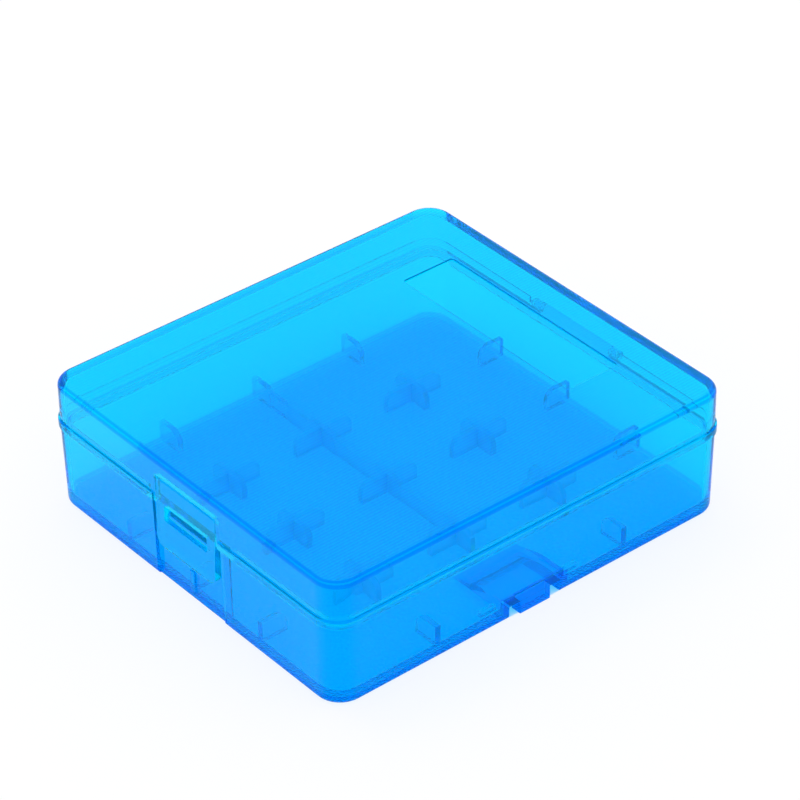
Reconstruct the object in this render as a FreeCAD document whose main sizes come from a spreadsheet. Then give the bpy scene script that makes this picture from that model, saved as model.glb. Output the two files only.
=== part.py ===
"""Battery case with a hinged lid and a drop latch, in millimetres.

The case stands on the XY plane with the middle of its underside at the origin. +Z is up.
The latch is on the front wall at -Y, the hinge on the rear wall at +Y, and the cord eye
under the right-hand wall at +X. The three pieces are mouldings that snap together.
"""
import FreeCAD, Part
import math
import os
from types import SimpleNamespace

import Sketcher

DIMENSIONS = (
    # the two shells
    ("case_length", 72.0, "along the front wall"),
    ("case_depth", 79.3, "front wall to rear wall"),
    ("case_height", 23.2, "underside to top of lid"),
    ("parting_height", 14.75, "top of the base walls"),
    ("seam_gap", 0.05, "between base wall and lid rim"),
    ("corner_radius", 4.45, "upright outer corners"),
    ("wall", 1.2, "side walls"),
    ("floor_thickness", 1.8, "base floor"),
    ("roof_thickness", 1.35, "lid top"),
    ("draft_inset", 0.25, "how far the base walls lean in at the foot"),
    ("foot_round", 0.9, "bottom outer edge"),
    ("roof_round", 0.95, "top outer edge"),
    ("inner_round", 0.6, "floor and roof to wall, inside"),
    # lid rim and locating lip
    ("rim_height", 1.5, "thickened rim of the lid"),
    ("rim_reach", 0.3, "how far the rim stands out"),
    ("rim_round", 0.2, "edges of the rim"),
    ("lip_drop", 1.0, "locating lip below the base's top edge"),
    ("lip_rise", 0.8, "locating lip above the lid's rim"),
    ("lip_thickness", 0.7, "locating lip"),
    ("lip_clearance", 0.1, "locating lip to base wall"),
    # cell posts, fins and rib
    ("column_pitch", 16.7, "cell posts along the front wall"),
    ("row_pitch", 18.95, "cell posts front to rear"),
    ("post_top", 5.4, "top of posts and fins"),
    ("post_reach_across", 3.9, "post arm along the front wall"),
    ("post_reach_deep", 5.7, "post arm front to rear"),
    ("post_round", 2.0, "upper corners of posts and fins"),
    ("web_thickness", 1.1, "posts and fins"),
    ("fin_reach", 5.0, "fins from the wall"),
    ("rib_thickness", 0.9, "centre rib"),
    ("rib_top", 4.6, "top of the centre rib"),
    # latch bay and catch on the base
    ("bay_width", 17.2, "latch bay"),
    ("bay_inset", 0.9, "latch bay behind the front wall"),
    ("catch_width", 10.2, "catch ridge"),
    ("catch_top", 14.3, "catch ridge"),
    ("catch_foot", 12.7, "catch ridge"),
    ("catch_reach", 0.65, "catch ridge out of the bay"),
    ("catch_rise", 0.22, "slope under the catch ridge"),
    # latch and its lugs
    ("pivot_height", 19.3, "latch axis"),
    ("pivot_inset", 0.6, "latch axis behind the front wall"),
    ("knuckle_radius", 0.55, "latch barrel"),
    ("latch_pin_radius", 0.35, "latch stub pins"),
    ("pin_clearance", 0.05, "every stub pin in its bore"),
    ("latch_width", 14.9, "latch plate"),
    ("latch_foot", 7.1, "bottom of the latch plate"),
    ("latch_flare", 0.45, "how far the plate's foot stands out"),
    ("latch_toe", 0.7, "thickness of the latch plate's foot"),
    ("latch_corner", 2.0, "bottom corners of the latch plate"),
    ("latch_pin_span", 16.1, "over the ends of the stub pins"),
    ("latch_bore_span", 16.3, "over the ends of the blind bores"),
    ("window_width", 10.8, "latch window"),
    ("window_top", 15.2, "latch window"),
    ("window_foot", 12.5, "latch window"),
    ("lead_in", 1.5, "chamfer behind the latch foot"),
    ("plate_gap", 0.1, "latch plate to bay"),
    ("notch_width", 15.2, "notch in the lid's front wall for the latch"),
    ("notch_top", 20.0, "notch in the lid's front wall for the latch"),
    ("rim_break_front", 16.4, "rim left out at the latch"),
    ("lip_break", 22.0, "locating lip left out behind the latch"),
    ("lip_break_depth", 2.4, "locating lip left out behind the latch"),
    # rear hinge
    ("hinge_setback", 1.0, "hinge axis behind the rear wall"),
    ("hinge_height", 14.8, "hinge axis"),
    ("hinge_radius", 0.85, "hinge barrel and lugs"),
    ("hinge_pin_radius", 0.45, "hinge stub pins"),
    ("hinge_barrel", 16.6, "length of the base's barrel"),
    ("hinge_side_gap", 0.2, "barrel to lug"),
    ("hinge_lug", 1.8, "width of each lid lug"),
    ("hinge_snap_gap", 0.7, "mouth of the hinge lugs"),
    ("gusset_foot", 12.4, "gusset under the hinge barrel"),
    ("rim_break_rear", 21.2, "rim left out at the hinge"),
    # cord eye
    ("eye_width", 10.7, "hollow of the cord eye"),
    ("eye_height", 2.5, "hollow of the cord eye"),
    ("eye_level", 29.5, "where the eye's ceiling starts to fall"),
    ("eye_end", 24.5, "where the eye's ceiling meets the underside"),
    ("eye_run_out", 0.3, "how far the fall of the ceiling runs on below the underside"),
    ("eye_bend", 12.0, "bends of the eye's ceiling and of the hump over it"),
    ("eye_wall", 1.1, "skin over the eye"),
    ("eye_bar_width", 6.2, "bar that the cord goes round"),
    ("eye_bar_depth", 2.2, "bar that the cord goes round"),
    ("stop_inset", 2.5, "end stop bars behind the right-hand wall"),
    ("stop_length", 3.1, "end stop bars"),
    ("stop_offset", 8.25, "end stop bars from the middle"),
    ("stop_thickness", 0.8, "end stop bars"),
    ("stop_top", 2.8, "end stop bars"),
    # label recess on the lid
    ("label_width", 40.4, "label recess"),
    ("label_front", 20.2, "label recess, front edge"),
    ("label_rear", 30.7, "label recess, rear edge"),
    ("label_depth", 0.2, "label recess"),
    ("label_round", 0.5, "corners of the label recess"),
    # bookkeeping
    ("root", 0.6, "how deep a feature starts inside the wall that carries it"),
    ("overrun", 2.0, "how far a cut runs past the solid"),
)

# which way +lift goes along each origin plane's own normal
NORMAL_SIGN = {"XY_Plane": 1, "YZ_Plane": 1, "XZ_Plane": -1}


class Size:
    """A length that carries both its number and its spreadsheet expression."""

    def __init__(self, value, text):
        self.value = value
        self.text = text

    def _with(self, other, sign, value):
        right = other.text if isinstance(other, Size) else str(other)
        return Size(value, f"({self.text} {sign} {right})")

    def __add__(self, other):
        return self._with(other, "+", self.value + number(other))

    def __sub__(self, other):
        return self._with(other, "-", self.value - number(other))

    def __mul__(self, other):
        return self._with(other, "*", self.value * number(other))

    def __truediv__(self, other):
        return self._with(other, "/", self.value / number(other))

    def __neg__(self):
        return Size(-self.value, f"(0 - {self.text})")


def number(size):
    """The plain number of a Size, or the number itself."""
    return size.value if isinstance(size, Size) else size


def make_sheet(doc):
    """Fill the spreadsheet with the driving dimensions and return them as Sizes."""
    sheet = doc.addObject("Spreadsheet::Sheet", "sizes")
    sizes = SimpleNamespace()
    for row, (alias, value, meaning) in enumerate(DIMENSIONS, start=1):
        sheet.set(f"A{row}", f"{alias}: {meaning}")
        sheet.set(f"B{row}", str(value))
        sheet.setAlias(f"B{row}", alias)
        setattr(sizes, alias, Size(value, f"sizes.{alias}"))
    doc.recompute()
    return sizes


# ---------------------------------------------------------------- sketches

def sketch_on(body, name, plane, lift=None):
    """A sketch on one of the body's own origin planes, lifted along the plane's axis."""
    sketch = body.newObject("Sketcher::SketchObject", name)
    support = next(item for item in body.Origin.OriginFeatures if item.Role == plane)
    sketch.AttachmentSupport = (support, [""])
    sketch.MapMode = "FlatFace"
    if lift is not None:
        offset = lift if NORMAL_SIGN[plane] > 0 else -lift
        sketch.setExpression("AttachmentOffset.Base.z", offset.text)
    return sketch


def tie(sketch, kind, elements, size):
    """Add one driving constraint and bind it to the sheet."""
    index = sketch.addConstraint(Sketcher.Constraint(kind, *elements, size.value))
    name = f"{kind.lower()}_{index}"
    sketch.renameConstraint(index, name)
    sketch.setExpression(f"Constraints.{name}", size.text)


def corner_arc(corner, before, after, radius):
    """The quarter arc that rounds a square corner, and which of its ends comes first."""
    towards_before = (before - corner).normalize()
    towards_after = (after - corner).normalize()
    centre = corner + (towards_before + towards_after) * radius
    anticlockwise = towards_after.cross(towards_before).z > 0
    start = centre - (towards_after if anticlockwise else towards_before) * radius
    angle = math.atan2(start.y - centre.y, start.x - centre.x)
    circle = Part.Circle(centre, FreeCAD.Vector(0, 0, 1), radius)
    return Part.ArcOfCircle(circle, angle, angle + math.pi / 2), 1 if anticlockwise else 2


def outline(sketch, corners):
    """Add one closed outline whose corners are (across, up) or (across, up, radius).

    A rounded corner joins a level side and an upright side. Every side is held by the
    fewest constraints that fix it, each bound to the sheet.
    """
    count = len(corners)
    points = [FreeCAD.Vector(corner[0].value, corner[1].value, 0) for corner in corners]
    radii = [corner[2] if len(corner) > 2 else None for corner in corners]
    level = [abs(points[i].y - points[(i + 1) % count].y) < 1e-7 for i in range(count)]
    upright = [abs(points[i].x - points[(i + 1) % count].x) < 1e-7 for i in range(count)]
    sloping = [not level[i] and not upright[i] for i in range(count)]
    pinned = [sloping[i] or sloping[i - 1] for i in range(count)]

    def trimmed(i, neighbour):
        if radii[i] is None:
            return points[i]
        return points[i] + (points[neighbour] - points[i]).normalize() * radii[i].value

    first = sketch.GeometryCount
    for i in range(count):
        after = (i + 1) % count
        sketch.addGeometry(Part.LineSegment(trimmed(i, after), trimmed(after, i)))
    for i in range(count):
        before = first + (i - 1) % count
        if radii[i] is None:
            sketch.addConstraint(Sketcher.Constraint("Coincident", before, 2, first + i, 1))
            continue
        arc, entry = corner_arc(points[i], points[i - 1], points[(i + 1) % count], radii[i].value)
        bend = sketch.addGeometry(arc)
        sketch.addConstraint(Sketcher.Constraint("Tangent", before, 2, bend, entry))
        sketch.addConstraint(Sketcher.Constraint("Tangent", bend, 3 - entry, first + i, 1))
        tie(sketch, "Radius", (bend,), radii[i])
    for i in range(count):
        after = (i + 1) % count
        if pinned[i]:
            tie(sketch, "DistanceX", (-1, 1, first + i, 1), corners[i][0])
            tie(sketch, "DistanceY", (-1, 1, first + i, 1), corners[i][1])
        if sloping[i] or (pinned[i] and pinned[after]):
            continue
        sketch.addConstraint(Sketcher.Constraint("Horizontal" if level[i] else "Vertical", first + i))
        if not pinned[i] and not pinned[after]:
            kind, place = ("DistanceY", corners[i][1]) if level[i] else ("DistanceX", corners[i][0])
            tie(sketch, kind, (-1, 1, first + i, 1), place)


def box_outline(sketch, left, right, low, high, radius=None):
    """Add a rectangle, with all four corners rounded if a radius is given."""
    rounding = () if radius is None else (radius,)
    corners = ((left, low), (right, low), (right, high), (left, high))
    outline(sketch, [corner + rounding for corner in corners])


def disc_outline(sketch, across, up, radius):
    """Add a full circle."""
    centre = FreeCAD.Vector(across.value, up.value, 0)
    ring = sketch.addGeometry(Part.Circle(centre, FreeCAD.Vector(0, 0, 1), radius.value))
    tie(sketch, "DistanceX", (-1, 1, ring, 3), across)
    tie(sketch, "DistanceY", (-1, 1, ring, 3), up)
    tie(sketch, "Radius", (ring,), radius)


# ---------------------------------------------------------------- features

def settle(body, feature):
    """Make the feature the body's tip and recompute, stopping on any failure."""
    body.Tip = feature
    body.Document.recompute()
    failed = {"Invalid", "Error"} & set(feature.State)
    if failed or feature.Shape.isNull() or not feature.Shape.isValid():
        raise RuntimeError(f"{body.Label}.{feature.Label} failed: {feature.State}")
    return feature


def extrude(body, kind, name, sketch, length, way, both):
    """Shared part of add and cut: a prism along +way of the sketch plane's axis."""
    feature = body.newObject(f"PartDesign::{kind}", name)
    feature.Profile = sketch
    feature.SideType = "Symmetric" if both else "One side"
    plane = sketch.AttachmentSupport[0][0].Role
    ahead = way * NORMAL_SIGN[plane] > 0
    feature.Reversed = ahead if kind == "Pocket" else not ahead
    feature.setExpression("Length", length.text)
    return settle(body, feature)


def add(body, name, sketch, length, way=1, both=False):
    """Pad a sketch; both=True centres the pad on the sketch plane."""
    return extrude(body, "Pad", name, sketch, length, way, both)


def cut(body, name, sketch, length, way=1, both=False):
    """Pocket a sketch and make sure that it took material away."""
    before = body.Shape.Volume
    feature = extrude(body, "Pocket", name, sketch, length, way, both)
    if body.Shape.Volume > before - 1e-3:
        raise RuntimeError(f"{body.Label}.{name} cuts nothing")
    return feature


def edges(body, wanted):
    """Names of the body's edges whose bounding box passes the test."""
    found = enumerate(body.Shape.Edges, start=1)
    names = [f"Edge{index}" for index, edge in found if wanted(edge.BoundBox)]
    if not names:
        raise RuntimeError(f"{body.Label}: no edge passes the test")
    return names


def round_edges(body, name, radius, wanted):
    """Fillet the edges that pass the test."""
    base = body.Tip
    names = edges(body, wanted)
    feature = body.newObject("PartDesign::Fillet", name)
    feature.Base = (base, names)
    feature.setExpression("Radius", radius.text)
    return settle(body, feature)


def repeat(body, name, originals, axes, steps):
    """Repeat features along one or two axes; each step is (total length, count)."""
    feature = body.newObject("PartDesign::LinearPattern", name)
    feature.Originals = originals
    roles = {item.Role: item for item in body.Origin.OriginFeatures}
    feature.Direction = (roles[axes[0]], [""])
    feature.setExpression("Length", steps[0][0].text)
    feature.Occurrences = steps[0][1]
    if len(axes) > 1:
        feature.Direction2 = (roles[axes[1]], [""])
        feature.setExpression("Length2", steps[1][0].text)
        feature.Occurrences2 = steps[1][1]
    return settle(body, feature)


def mirror(body, name, originals, plane):
    """Mirror features in one of the body's origin planes."""
    feature = body.newObject("PartDesign::Mirrored", name)
    feature.Originals = originals
    support = next(item for item in body.Origin.OriginFeatures if item.Role == plane)
    feature.MirrorPlane = (support, [""])
    return settle(body, feature)


def is_upright(box):
    """True for an edge that rises along Z."""
    return box.ZLength > 1 and box.XLength < 1 and box.YLength < 1


def is_level_at(box, height):
    """True for an edge that lies flat at one height."""
    return abs(box.ZMin - height) < 1e-3 and abs(box.ZMax - height) < 1e-3


def is_crease_at(box, across, height):
    """True for an edge that runs along Y through one point of the XZ plane."""
    in_line = abs(box.XMin - across.value) < 1e-3 and abs(box.XMax - across.value) < 1e-3
    return in_line and box.YLength > 1 and is_level_at(box, height.value)


# ---------------------------------------------------------------- base tray

def base_shell(body, size):
    """Walls and floor, leaning in slightly towards the foot."""
    half_length = size.case_length / 2 - size.draft_inset
    half_depth = size.case_depth / 2 - size.draft_inset
    lean = "atan(sizes.draft_inset / sizes.parting_height)"
    footprint = sketch_on(body, "footprint", "XY_Plane")
    box_outline(footprint, -half_length, half_length, -half_depth, half_depth)
    block = add(body, "tray_block", footprint, size.parting_height)
    block.setExpression("TaperAngle", lean)
    settle(body, block)
    round_edges(body, "outer_corners", size.corner_radius, is_upright)
    round_edges(body, "foot_edge", size.foot_round, lambda box: is_level_at(box, 0))

    inside = sketch_on(body, "tray_inside", "XY_Plane", size.floor_thickness)
    box_outline(inside, size.wall - half_length, half_length - size.wall,
                size.wall - half_depth, half_depth - size.wall, size.corner_radius - size.wall)
    hollow = cut(body, "tray_hollow", inside, size.parting_height)
    hollow.setExpression("TaperAngle", lean)
    settle(body, hollow)
    floor = size.floor_thickness.value
    round_edges(body, "floor_edge", size.inner_round, lambda box: is_level_at(box, floor))


def latch_bay(body, size):
    """The bay that the latch plate hangs in, its thicker backing and the catch ridge."""
    front = -size.case_depth / 2
    bay_face = front + size.bay_inset
    half_bay = size.bay_width / 2
    backing = sketch_on(body, "bay_backing_outline", "XY_Plane", size.root)
    half_backing = half_bay + size.wall
    box_outline(backing, -half_backing, half_backing, bay_face, bay_face + size.wall)
    add(body, "bay_backing", backing, size.parting_height - size.root)
    bay = sketch_on(body, "bay_outline", "XY_Plane", -size.overrun)
    box_outline(bay, -half_bay, half_bay, front - size.overrun, bay_face)
    cut(body, "latch_bay", bay, size.parting_height + size.overrun * 2)
    ridge = sketch_on(body, "catch_profile", "YZ_Plane")
    crest = bay_face - size.catch_reach
    buried = bay_face + size.root
    outline(ridge, (
        (buried, size.catch_foot),
        (bay_face, size.catch_foot),
        (crest, size.catch_foot + size.catch_rise),
        (crest, size.catch_top - size.catch_reach),
        (bay_face, size.catch_top),
        (buried, size.catch_top),
    ))
    add(body, "catch_ridge", ridge, size.catch_width, both=True)


def cell_posts(body, size):
    """Nine cross-shaped posts that keep the cells in their rows and columns."""
    buried = size.floor_thickness - size.root
    row = -size.row_pitch
    column = -size.column_pitch
    across = sketch_on(body, "post_across_profile", "XZ_Plane", row)
    deep = sketch_on(body, "post_deep_profile", "YZ_Plane", column)
    arms = []
    for sketch, middle, reach in ((across, column, size.post_reach_across),
                                  (deep, row, size.post_reach_deep)):
        outline(sketch, (
            (middle - reach, buried),
            (middle + reach, buried),
            (middle + reach, size.post_top, size.post_round),
            (middle - reach, size.post_top, size.post_round),
        ))
        name = sketch.Name.replace("_profile", "")
        arms.append(add(body, name, sketch, size.web_thickness, both=True))
    steps = ((size.column_pitch * 2, 3), (size.row_pitch * 2, 3))
    repeat(body, "post_grid", arms, ("X_Axis", "Y_Axis"), steps)


def fin_outline(sketch, buried_end, free_end, foot, size):
    """One wall fin seen from its side, its upper free corner rounded."""
    outline(sketch, (
        (buried_end, foot),
        (free_end, foot),
        (free_end, size.post_top, size.post_round),
        (buried_end, size.post_top),
    ))


def wall_fins(body, size):
    """Fins that stand in from the walls in line with the posts."""
    foot = size.floor_thickness - size.root
    side_wall = size.case_length / 2 - size.wall
    deep_wall = size.case_depth / 2 - size.wall
    deep = sketch_on(body, "deep_fin_profile", "YZ_Plane", -size.column_pitch)
    fin_outline(deep, deep_wall + size.root, deep_wall - size.fin_reach, foot, size)
    fin_outline(deep, -deep_wall - size.root, size.fin_reach - deep_wall, foot, size)
    deep_fins = add(body, "deep_fins", deep, size.web_thickness, both=True)
    repeat(body, "deep_fin_row", [deep_fins], ("X_Axis",), ((size.column_pitch * 2, 3),))
    side = sketch_on(body, "side_fin_profile", "XZ_Plane", -size.row_pitch)
    fin_outline(side, side_wall + size.root, side_wall - size.fin_reach, foot, size)
    fin_outline(side, -side_wall - size.root, size.fin_reach - side_wall, foot, size)
    side_fins = add(body, "side_fins", side, size.web_thickness, both=True)
    repeat(body, "side_fin_row", [side_fins], ("Y_Axis",), ((size.row_pitch * 2, 2),))
    middle = sketch_on(body, "middle_fin_profile", "XZ_Plane")
    fin_outline(middle, -side_wall - size.root, size.fin_reach - side_wall, foot, size)
    add(body, "middle_fin", middle, size.web_thickness, both=True)


def centre_rib(body, size):
    """The low rib that splits the case into two banks of cells."""
    foot = size.floor_thickness - size.root
    left = size.root - size.case_length / 2
    right = size.column_pitch + size.post_reach_across
    rib = sketch_on(body, "rib_profile", "XZ_Plane")
    box_outline(rib, left, right, foot, size.rib_top)
    add(body, "centre_rib", rib, size.rib_thickness, both=True)


def cord_eye(body, size):
    """The hollow under the right-hand wall, its hump inside and the bar across its mouth."""
    outer = size.case_length / 2
    wall_inside = outer - size.wall
    hump_top = size.eye_height + size.eye_wall
    foot = size.floor_thickness - size.root
    fall = size.eye_end - size.eye_wall
    hump = sketch_on(body, "eye_hump_profile", "XZ_Plane")
    outline(hump, (
        (wall_inside + size.root, foot),
        (wall_inside + size.root, hump_top),
        (size.eye_level, hump_top),
        (fall, size.floor_thickness),
        (fall, foot),
    ))
    add(body, "eye_hump", hump, size.eye_width + size.eye_wall * 2, both=True)
    round_edges(body, "hump_bends", size.eye_bend,
                lambda box: is_crease_at(box, size.eye_level, hump_top)
                or is_crease_at(box, fall, size.floor_thickness))
    hollow = sketch_on(body, "eye_hollow_profile", "XZ_Plane")
    outline(hollow, (
        (outer + size.overrun, -size.overrun),
        (outer + size.overrun, size.eye_height),
        (size.eye_level, size.eye_height),
        (size.eye_end, -size.eye_run_out),
        (size.eye_end, -size.overrun),
    ))
    cut(body, "eye_hollow", hollow, size.eye_width, both=True)
    round_edges(body, "hollow_bend", size.eye_bend,
                lambda box: is_crease_at(box, size.eye_level, size.eye_height))
    bar = sketch_on(body, "eye_bar_outline", "XY_Plane")
    bar_face = outer - size.draft_inset
    half_bar = size.eye_bar_width / 2
    box_outline(bar, bar_face - size.eye_bar_depth, bar_face, -half_bar, half_bar)
    add(body, "eye_bar", bar, size.eye_height + size.root)


def end_stops(body, size):
    """Two short bars that hold the cells off the right-hand wall beside the eye."""
    place = size.case_length / 2 - size.stop_inset
    stop = sketch_on(body, "stop_outline", "XY_Plane", size.floor_thickness - size.root)
    box_outline(stop, place - size.stop_thickness / 2, place + size.stop_thickness / 2,
                size.stop_offset - size.stop_length / 2, size.stop_offset + size.stop_length / 2)
    bar = add(body, "end_stop", stop, size.stop_top - size.floor_thickness + size.root)
    mirror(body, "end_stop_pair", [bar], "XZ_Plane")


def hinge_barrel(body, size):
    """The rear barrel on its gusset, with a stub pin at each end."""
    rear = size.case_depth / 2
    axis = rear + size.hinge_setback
    lean = size.hinge_radius * math.sqrt(0.5)
    gusset = sketch_on(body, "gusset_profile", "YZ_Plane")
    outline(gusset, (
        (rear - size.root, size.gusset_foot),
        (axis + lean, size.hinge_height - lean),
        (axis, size.parting_height),
        (rear - size.root, size.parting_height),
    ))
    add(body, "hinge_gusset", gusset, size.hinge_barrel, both=True)
    barrel = sketch_on(body, "barrel_profile", "YZ_Plane")
    disc_outline(barrel, axis, size.hinge_height, size.hinge_radius)
    add(body, "hinge_barrel", barrel, size.hinge_barrel, both=True)
    pins = sketch_on(body, "hinge_pin_profile", "YZ_Plane")
    disc_outline(pins, axis, size.hinge_height, size.hinge_pin_radius)
    add(body, "hinge_pins", pins, size.hinge_barrel + size.hinge_lug * 2, both=True)


def build_base_tray(doc, size):
    """The lower shell with everything that is moulded onto it."""
    body = doc.addObject("PartDesign::Body", "base_tray")
    body.Label = "base_tray"
    base_shell(body, size)
    latch_bay(body, size)
    cell_posts(body, size)
    wall_fins(body, size)
    centre_rib(body, size)
    cord_eye(body, size)
    end_stops(body, size)
    hinge_barrel(body, size)
    return body


# ---------------------------------------------------------------- lid

def lid_plan(body, name, half_length, half_depth, radius, height, size):
    """A block that stands on the lid's lower edge, its upright corners rounded."""
    plan = sketch_on(body, f"{name}_outline", "XY_Plane", size.parting_height + size.seam_gap)
    box_outline(plan, -half_length, half_length, -half_depth, half_depth, radius)
    return add(body, name, plan, height)


def lid_shell(body, size):
    """Roof and walls with the thickened rim, hollowed out from below."""
    bottom = size.parting_height + size.seam_gap
    half_length = size.case_length / 2
    half_depth = size.case_depth / 2
    lid_plan(body, "rim", half_length + size.rim_reach, half_depth + size.rim_reach,
             size.corner_radius + size.rim_reach, size.rim_height, size)
    round_edges(body, "rim_edges", size.rim_round, lambda box: box.ZLength < 1e-3)
    lid_plan(body, "lid_block", half_length, half_depth, size.corner_radius,
             size.case_height - bottom, size)
    top = size.case_height.value
    round_edges(body, "roof_edge", size.roof_round, lambda box: is_level_at(box, top))
    inside = sketch_on(body, "lid_inside", "XY_Plane", bottom)
    box_outline(inside, size.wall - half_length, half_length - size.wall,
                size.wall - half_depth, half_depth - size.wall, size.corner_radius - size.wall)
    cut(body, "lid_hollow", inside, size.case_height - size.roof_thickness - bottom)
    ceiling = (size.case_height - size.roof_thickness).value
    round_edges(body, "ceiling_edge", size.inner_round, lambda box: is_level_at(box, ceiling))


def locating_lip(body, size):
    """A thin lip that drops inside the base walls, carried on a ledge of the lid's wall."""
    bottom = size.parting_height + size.seam_gap
    outer_inset = size.wall + size.lip_clearance
    inner_inset = outer_inset + size.lip_thickness
    foot = bottom - size.lip_drop
    rings = (
        ("lip", outer_inset, foot, bottom - foot + size.lip_rise),
        ("lip_ledge", size.wall / 2, bottom, size.lip_rise),
    )
    for name, inset, level, height in rings:
        plan = sketch_on(body, f"{name}_outline", "XY_Plane", level)
        for edge_inset in (inset, inner_inset):
            across = size.case_length / 2 - edge_inset
            deep = size.case_depth / 2 - edge_inset
            bend = size.corner_radius + size.draft_inset - edge_inset
            box_outline(plan, -across, across, -deep, deep, bend)
        add(body, name, plan, height)


def rim_breaks(body, size):
    """Leave the rim out at the latch and the hinge, and the lip out at the latch bay."""
    front = -size.case_depth / 2
    below = size.parting_height - size.overrun
    height = size.rim_height + size.overrun * 2
    gaps = (
        ("rim_break_front", size.rim_break_front, front - size.overrun, front),
        ("rim_break_rear", size.rim_break_rear, -front, size.overrun - front),
        ("lip_break", size.lip_break, front + size.wall, front + size.wall + size.lip_break_depth),
    )
    for name, width, near, far in gaps:
        plan = sketch_on(body, f"{name}_outline", "XY_Plane", below)
        box_outline(plan, -width / 2, width / 2, near, far)
        cut(body, name, plan, height)


def latch_notch(body, size):
    """The notch in the front wall that the latch closes, with a blind bore in each side."""
    front = -size.case_depth / 2
    behind_wall = front + size.wall + size.root
    foot = size.parting_height - size.overrun
    notch = sketch_on(body, "notch_outline", "XZ_Plane", behind_wall)
    box_outline(notch, -size.notch_width / 2, size.notch_width / 2, foot, size.notch_top)
    cut(body, "latch_notch", notch, size.wall + size.root + size.overrun, way=-1)
    bore = sketch_on(body, "latch_bore_profile", "YZ_Plane")
    disc_outline(bore, front + size.pivot_inset, size.pivot_height,
                 size.latch_pin_radius + size.pin_clearance)
    cut(body, "latch_bores", bore, size.latch_bore_span, both=True)


def hinge_lugs(body, size):
    """The two rear lugs, bored for the base's stub pins and open below to snap over them."""
    rear = size.case_depth / 2
    axis = rear + size.hinge_setback
    bottom = size.parting_height + size.seam_gap
    start = size.hinge_barrel / 2 + size.hinge_side_gap
    arm = sketch_on(body, "hinge_arm_profile", "YZ_Plane", start)
    box_outline(arm, rear - size.root, axis, bottom, size.hinge_height + size.hinge_radius)
    knuckle = sketch_on(body, "hinge_lug_profile", "YZ_Plane", start)
    disc_outline(knuckle, axis, size.hinge_height, size.hinge_radius)
    halves = [add(body, "hinge_arm", arm, size.hinge_lug), add(body, "hinge_lug", knuckle, size.hinge_lug)]
    mirror(body, "hinge_lug_pair", halves, "YZ_Plane")
    span = (start + size.hinge_lug) * 2
    bore = sketch_on(body, "hinge_bore_profile", "YZ_Plane")
    disc_outline(bore, axis, size.hinge_height, size.hinge_pin_radius + size.pin_clearance)
    cut(body, "hinge_bores", bore, span, both=True)
    mouth = sketch_on(body, "hinge_mouth_profile", "YZ_Plane")
    half_gap = size.hinge_snap_gap / 2
    box_outline(mouth, axis - half_gap, axis + half_gap, size.hinge_height - size.overrun, size.hinge_height)
    cut(body, "hinge_mouths", mouth, span, both=True)


def label_recess(body, size):
    """The shallow bare recess on the roof where a label would go."""
    half_width = size.label_width / 2
    plan = sketch_on(body, "label_outline", "XY_Plane", size.case_height)
    box_outline(plan, -half_width, half_width, size.label_front, size.label_rear, size.label_round)
    cut(body, "label_recess", plan, size.label_depth, way=-1)


def build_lid(doc, size):
    """The upper shell with its latch notch and hinge lugs."""
    body = doc.addObject("PartDesign::Body", "lid")
    body.Label = "lid"
    lid_shell(body, size)
    locating_lip(body, size)
    rim_breaks(body, size)
    latch_notch(body, size)
    hinge_lugs(body, size)
    label_recess(body, size)
    return body


# ---------------------------------------------------------------- latch

def latch_plate(body, size):
    """The flared plate below the pivot, with its rounded foot and its window."""
    front = -size.case_depth / 2
    back = front + size.bay_inset - size.plate_gap
    face = front + size.pivot_inset - size.knuckle_radius
    flare = face - size.latch_flare
    profile = sketch_on(body, "plate_profile", "YZ_Plane")
    outline(profile, (
        (back, size.pivot_height),
        (face, size.pivot_height),
        (flare, size.latch_foot),
        (flare + size.latch_toe, size.latch_foot),
        (back, size.latch_foot + size.lead_in),
    ))
    add(body, "plate", profile, size.latch_width, both=True)
    foot = size.latch_foot.value
    ends = size.latch_width.value / 2

    def is_foot_corner(box):
        return box.ZMax < foot + 0.01 and box.XLength < 0.01 and abs(abs(box.XMin) - ends) < 0.01

    round_edges(body, "plate_corners", size.latch_corner, is_foot_corner)
    window = sketch_on(body, "window_outline", "XZ_Plane", front - size.overrun)
    box_outline(window, -size.window_width / 2, size.window_width / 2, size.window_foot, size.window_top)
    cut(body, "catch_window", window, size.overrun * 2)


def latch_barrel(body, size):
    """The barrel along the top of the plate and the stub pins that turn in the lid's bores."""
    axis = size.pivot_inset - size.case_depth / 2
    for name, radius, span in (("barrel", size.knuckle_radius, size.latch_width),
                               ("stub_pins", size.latch_pin_radius, size.latch_pin_span)):
        profile = sketch_on(body, f"{name}_profile", "YZ_Plane")
        disc_outline(profile, axis, size.pivot_height, radius)
        add(body, name, profile, span, both=True)


def build_latch(doc, size):
    """The drop latch on the front wall."""
    body = doc.addObject("PartDesign::Body", "latch")
    body.Label = "latch"
    latch_plate(body, size)
    latch_barrel(body, size)
    return body


def main():
    """Build the document, check every object and write one STEP file per piece."""
    doc = FreeCAD.newDocument("battery_case")
    size = make_sheet(doc)
    pieces = [build_base_tray(doc, size), build_lid(doc, size), build_latch(doc, size)]
    doc.recompute()
    for item in doc.Objects:
        if {"Invalid", "Error"} & set(item.State):
            raise RuntimeError(f"{item.Label} is {item.State}")
    for piece in pieces:
        if piece.Shape.isNull() or not piece.Shape.isValid():
            raise RuntimeError(f"{piece.Label} has no valid shape")
    os.makedirs("parts", exist_ok=True)
    for piece in pieces:
        piece.Shape.exportStep(f"parts/{piece.Label}.step")
        print(piece.Label, len(piece.Shape.Solids), round(piece.Shape.Volume, 1), piece.Shape.BoundBox)


main()
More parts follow.
